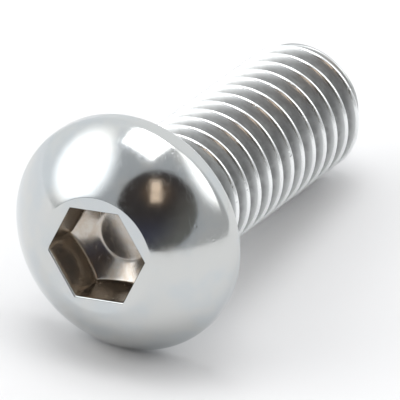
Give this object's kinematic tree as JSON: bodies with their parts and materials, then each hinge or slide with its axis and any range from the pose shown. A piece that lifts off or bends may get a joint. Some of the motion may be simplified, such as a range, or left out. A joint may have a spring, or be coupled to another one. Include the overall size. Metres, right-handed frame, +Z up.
{
  "type": "button head screw",
  "caption": "Button head machine screw lying on its side: a low domed round head with a hexagon socket, and a right-hand threaded shank with a chamfered tip.",
  "frame": {"origin": "middle of the bounding box's base, on the surface that the screw lies on", "axes": "+X from the head towards the tip, with the screw's own axis 8.26 degrees below +X, because it lies on the rim of its head and on its last crest; +Z up"},
  "size_m": [0.0198, 0.0104, 0.0104],
  "materials": {
    "zinc_plate": "bright zinc plate on steel, glossy, cool silver"
  },
  "bodies": {
    "root": {"button_head_screw": "zinc_plate"}
  },
  "joints": []
}
